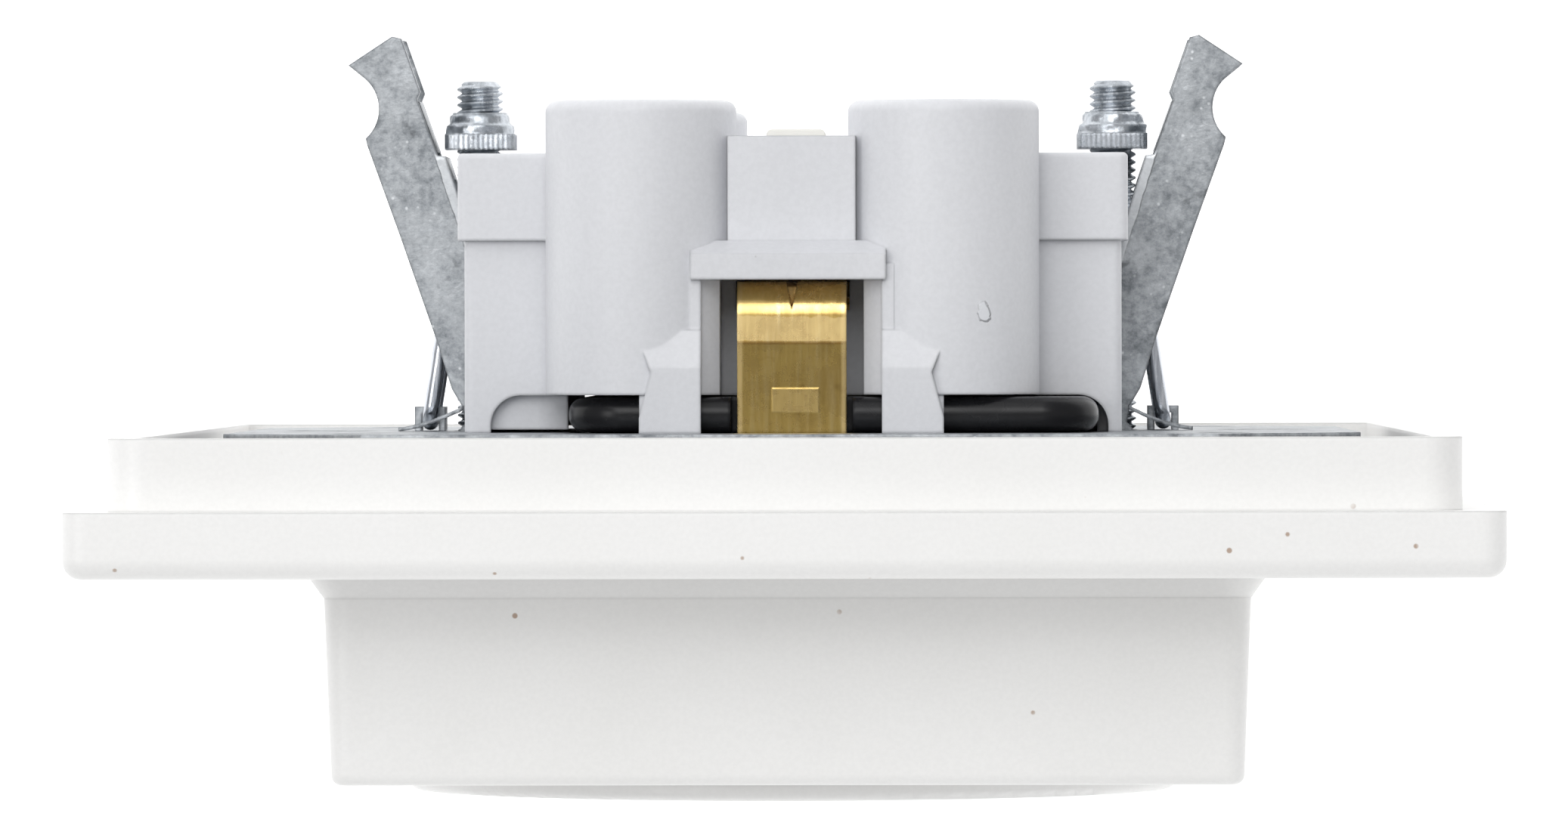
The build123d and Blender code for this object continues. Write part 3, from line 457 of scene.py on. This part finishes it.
def claw_screw(side):
    """An M3 screw: a right-hand thread to its chamfered end, and a slotted head."""
    node = "claw_screw_" + side
    low, high = [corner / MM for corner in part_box(node)]
    x = (low.x + high.x) / 2
    head_r = (high.x - low.x) / 2
    neck = low.y + HEAD_THICK

    def thread_radius(y, turn):
        phase = (y / THREAD_PITCH + turn / (2 * math.pi)) % 1.0
        ridge = 1.0 - abs(2.0 * phase - 1.0)
        r = THREAD_CORE_R + (THREAD_R - THREAD_CORE_R) * min(1.0, CREST_FLAT * ridge)
        return min(r, THREAD_CORE_R - CHAMFER_START + (high.y - y))

    bm = bmesh.new()
    lathe(bm, x, thread_radius, spread(neck, high.y, THREAD_PITCH / 8), SCREW_SIDES)
    drive_floor = low.y + DRIVE_DEPTH
    lathe(bm, x, lambda y, turn: head_r, [drive_floor, neck], SCREW_SIDES)
    start = math.asin(DRIVE_HALF / head_r)
    for half in (1, -1):
        turns = spread(start, math.pi - start, HEAD_ARC_STEP)
        outline = [(x + head_r * math.cos(a), half * head_r * math.sin(a)) for a in turns]
        prism(bm, outline, low.y, drive_floor)
    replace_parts(add_piece("threaded_screw_" + side, bm, side + "_screw", SCREW_FINISH), node)


NUT_PLATE_THICK = 1.0
NUT_CORNER = 0.5
SERRATION = 0.07
SERRATION_PITCH = 0.16
SCREW_X = 20.4
COLLAR_FOOT_R = 2.2
COLLAR_TOP_R = 2.1
COLLAR_GROOVE = 0.12
COLLAR_WAVES = 5
COLLAR_SIDES = 40


def serrated(low, high, dice):
    """The outline in X and Z of a rounded plate whose sheared edges are finely notched."""
    inset = NUT_CORNER
    middles = ((high.x - inset, high.z - inset), (low.x + inset, high.z - inset),
               (low.x + inset, low.z + inset), (high.x - inset, low.z + inset))
    plain = []
    for quarter, (cx, cz) in enumerate(middles):
        for third in range(4):
            a = math.radians(90 * quarter + 30 * third)
            plain.append(Vector((cx + inset * math.cos(a), cz + inset * math.sin(a))))
    points = []
    for here, there in zip(plain, plain[1:] + plain[:1]):
        run = there - here
        inward = Vector((-run.y, run.x)).normalized()
        count = max(1, round(run.length / SERRATION_PITCH))
        for i in range(count):
            depth = SERRATION * dice.uniform(0.4, 1.0) if i % 2 else 0.0
            points.append(here.lerp(there, i / count) + inward * depth)
    return points


def claw_nut(side, sign, dice):
    """A plate nut with serrated edges and a drawn collar that is rough from the tool."""
    node = "claw_nut_" + side
    low, high = [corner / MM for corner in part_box(node)]
    back = low.y + NUT_PLATE_THICK
    bm = bmesh.new()
    prism(bm, serrated(low, high, dice), low.y, back)
    waves = []
    for _ in range(COLLAR_WAVES):
        waves.append((dice.randint(3, 9), dice.uniform(0, 2 * math.pi), dice.uniform(0.01, 0.035)))

    def collar_radius(y, turn):
        up = (y - back) / (high.y - back)
        plain = COLLAR_FOOT_R - 0.05 * up if up < 0.5 else COLLAR_TOP_R - 0.25 * up
        rough = sum(size * math.sin(rate * turn + shift + 7 * up) for rate, shift, size in waves)
        groove = COLLAR_GROOVE if up > 0.93 or 0.42 < up < 0.5 else 0.0
        return plain + rough - groove

    lathe(bm, sign * SCREW_X, collar_radius, spread(back - 0.02, high.y, 0.1), COLLAR_SIDES)
    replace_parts(add_piece("plate_nut_" + side, bm, side + "_nut", SCREW_FINISH), node)


TAB_INNER_X = 21.3
TAB_OUTER_X = 25.4
TAB_Z = (4.6, 7.4)
TAB_RISE = 1.35
TAB_THICK = 0.25
TAB_STEPS = 14
TAB_BASE_Y = 0.02
TAB_CURVE = 1.6


def ring_tab(side, sign, dice):
    """Sheet that is pushed up out of the ring beside a claw's foot, rough along its edge."""
    bm = bmesh.new()
    under, over = [], []
    for i in range(TAB_STEPS + 1):
        part = i / TAB_STEPS
        x = sign * (TAB_OUTER_X + (TAB_INNER_X - TAB_OUTER_X) * part)
        y = TAB_BASE_Y + TAB_RISE * part ** TAB_CURVE + dice.uniform(-0.03, 0.03) * part
        for row, lift in ((under, 0.0), (over, TAB_THICK)):
            row.append([bm.verts.new((x, y + lift, z + dice.uniform(-0.05, 0.05))) for z in TAB_Z])
    for i in range(TAB_STEPS):
        for row in (under, over):
            bm.faces.new((row[i][0], row[i][1], row[i + 1][1], row[i + 1][0]))
        for edge in (0, 1):
            bm.faces.new((under[i][edge], under[i + 1][edge], over[i + 1][edge], over[i][edge]))
    for i in (0, TAB_STEPS):
        bm.faces.new((under[i][0], under[i][1], over[i][1], over[i][0]))
    add_piece("ring_tab_" + side, bm, "housing", FINISH["zinc_steel"])


SPRING_BENDS = 5
SPRING_WIRE_R = 0.25
WIRE_SIDES = 10


def shutter_spring(end):
    """A zigzag of round wire behind a shutter."""
    node = "shutter_spring_" + end
    low, high = [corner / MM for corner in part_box(node)]
    middle = (low.y + high.y) / 2
    reach = high.x - SPRING_WIRE_R
    first, last = low.z + SPRING_WIRE_R, high.z - SPRING_WIRE_R
    bends = []
    for i in range(SPRING_BENDS + 1):
        z = first + (last - first) * i / SPRING_BENDS
        bends.append(Vector((reach if i % 2 else -reach, middle, z)))
    bm = bmesh.new()
    rings = []
    for i, bend in enumerate(bends):
        back = bends[max(i - 1, 0)]
        ahead = bends[min(i + 1, SPRING_BENDS)]
        along = (ahead - back).normalized()
        across = along.cross(Vector((0, 1, 0)))
        ring = []
        for k in range(WIRE_SIDES):
            turn = 2 * math.pi * k / WIRE_SIDES
            offset = across * math.cos(turn) + Vector((0, 1, 0)) * math.sin(turn)
            ring.append(bm.verts.new(bend + offset * SPRING_WIRE_R))
        rings.append(ring)
    for here, there in zip(rings, rings[1:]):
        for k in range(WIRE_SIDES):
            j = (k + 1) % WIRE_SIDES
            bm.faces.new((here[k], here[j], there[j], there[k]))
    bm.faces.new(rings[0])
    bm.faces.new(rings[-1])
    spring = add_piece("zigzag_" + end, bm, "housing", FINISH["spring_steel"])
    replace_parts(spring, node)
    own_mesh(spring)


# ---- camera, floor and light ------------------------------------------------------------

EYE_MM = Vector((10.0, 6.0, 814.5))
AIM_MM = Vector((0.03, 1.22, 64.5))
FOCAL_MM = 289.9
SENSOR_MM = 36.0
ROLL_DEG = -0.1


def make_camera():
    data = bpy.data.cameras.new("camera")
    data.lens = FOCAL_MM
    data.sensor_width = SENSOR_MM
    data.clip_start = 0.01
    data.clip_end = 20.0
    camera = bpy.data.objects.new("camera", data)
    bpy.context.scene.collection.objects.link(camera)
    forward = (AIM_MM - EYE_MM).normalized()
    right = forward.cross(Vector((0, 1, 0))).normalized()
    up = right.cross(forward)
    axes = Matrix((right, up, -forward)).transposed()
    turned = axes @ Matrix.Rotation(math.radians(ROLL_DEG), 3, "Z")
    camera.matrix_world = Matrix.Translation(EYE_MM * MM) @ turned.to_4x4()
    bpy.context.scene.camera = camera


FLOOR_REACH = 3.0
FLOOR_GAP = 0.0002
FLOOR_GLOW = 0.50
WORLD_STRENGTH = 0.50


def make_floor():
    """A plain pale floor under the socket, which is also the main picture's background."""
    reach = FLOOR_REACH
    mesh = bpy.data.meshes.new("floor")
    corners = [(-reach, -reach, 0), (reach, -reach, 0), (reach, reach, 0), (-reach, reach, 0)]
    mesh.from_pydata(corners, [], [(0, 1, 2, 3)])
    floor = bpy.data.objects.new("floor", mesh)
    bpy.context.scene.collection.objects.link(floor)
    floor.location.z = cad_low.z - FLOOR_GAP
    t = Tree("floor_paper")
    colour = t.ramp(t.noise(8, 2), (0.3, 0.92), (0.7, 0.94))
    rough = t.ramp(t.noise(20, 2), (0.3, 0.8), (0.7, 0.9))
    fibres = t.bump(t.noise(900, 3), 0.05, 0.05, t.rounded(0.1))
    glow = {"Emission_Color": (1, 1, 1, 1), "Emission_Strength": FLOOR_GLOW}
    paint(floor, t.finish(colour, rough, fibres, **glow))


def soft_box(name, place, size, power):
    """A square light at a place in metres, turned towards the origin. Power is in watts."""
    data = bpy.data.lights.new(name, "AREA")
    data.size = size
    data.energy = power
    lamp = bpy.data.objects.new(name, data)
    bpy.context.scene.collection.objects.link(lamp)
    lamp.location = place
    lamp.rotation_mode = "QUATERNION"
    lamp.rotation_quaternion = (-Vector(place)).to_track_quat("-Z", "Y")


def make_light():
    world = bpy.data.worlds.new("studio")
    world.use_nodes = True
    nodes = world.node_tree.nodes
    nodes["Background"].inputs["Color"].default_value = (0.985, 0.99, 1.0, 1)
    nodes["Background"].inputs["Strength"].default_value = WORLD_STRENGTH
    bpy.context.scene.world = world
    soft_box("rear_box", (-0.25, 0.95, 0.55), 0.8, 2.6)
    soft_box("key_box", (-0.70, 0.1, 1.05), 0.45, 2.4)
    soft_box("end_box", (-0.10, 0.50, 1.15), 0.6, 4.6)
    soft_box("face_box", (0.55, -1.15, 0.45), 1.0, 3.2)
    bpy.context.scene.view_settings.view_transform = "Standard"


paint_nodes()
for side, sign in (("left", -1), ("right", 1)):
    dice = random.Random(side)
    claw_screw(side)
    claw_nut(side, sign, dice)
    ring_tab(side, sign, dice)
for end, sign in (("upper", 1), ("lower", -1)):
    shutter_spring(end)
make_camera()
make_floor()
make_light()
